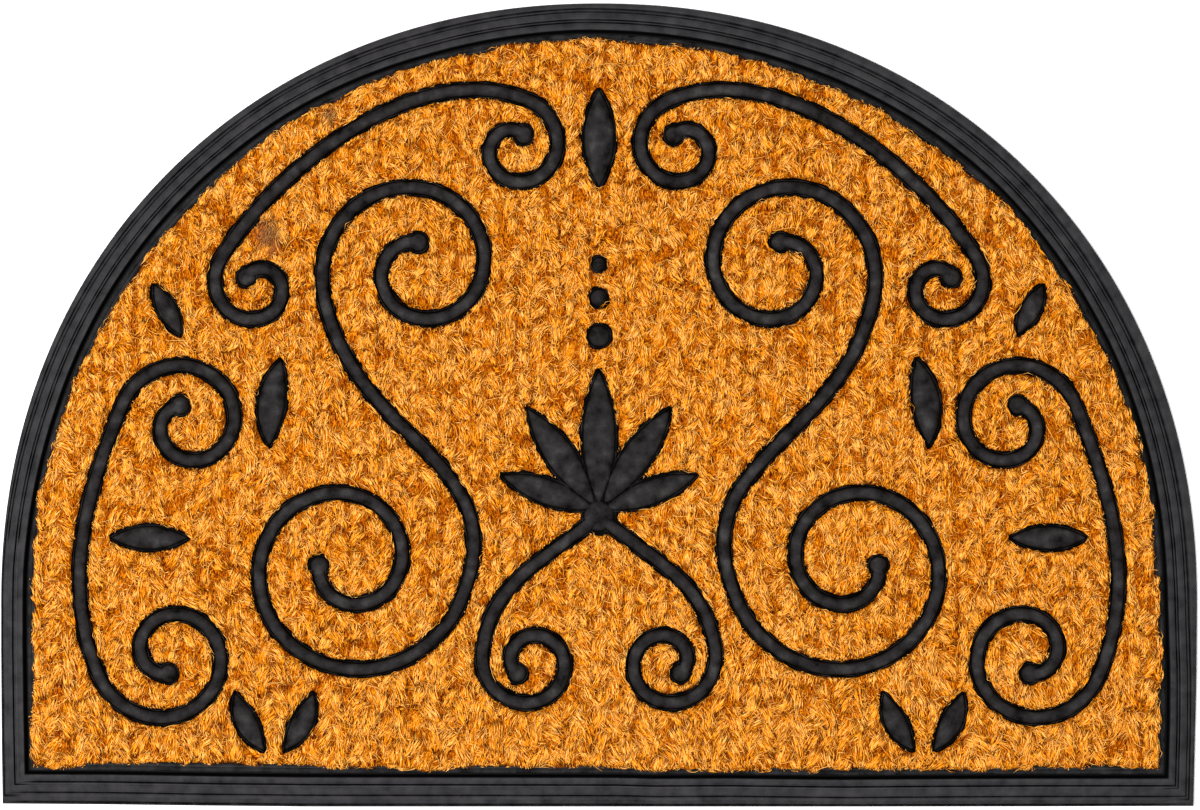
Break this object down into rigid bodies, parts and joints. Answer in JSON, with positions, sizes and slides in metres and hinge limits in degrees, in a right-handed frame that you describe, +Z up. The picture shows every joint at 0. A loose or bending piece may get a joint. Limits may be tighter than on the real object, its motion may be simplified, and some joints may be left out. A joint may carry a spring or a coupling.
{
  "type": "half round doormat",
  "caption": "Half round doormat: a black ribbed rubber tray with raised scrollwork, filled with a bristly golden coir panel, made to lie flat at a threshold.",
  "frame": {"origin": "on the ground under the middle of the mat's bounding box", "axes": "+X along the straight edge, +Y away from the straight edge towards the top of the arch, +Z up from the ground"},
  "size_m": [0.6, 0.403, 0.0095],
  "materials": {
    "black_rubber": "moulded, satin",
    "coir": "brushed bristle pile"
  },
  "bodies": {
    "root": {"rubber_moulding": "black_rubber", "coir_panel": "coir"}
  },
  "joints": []
}
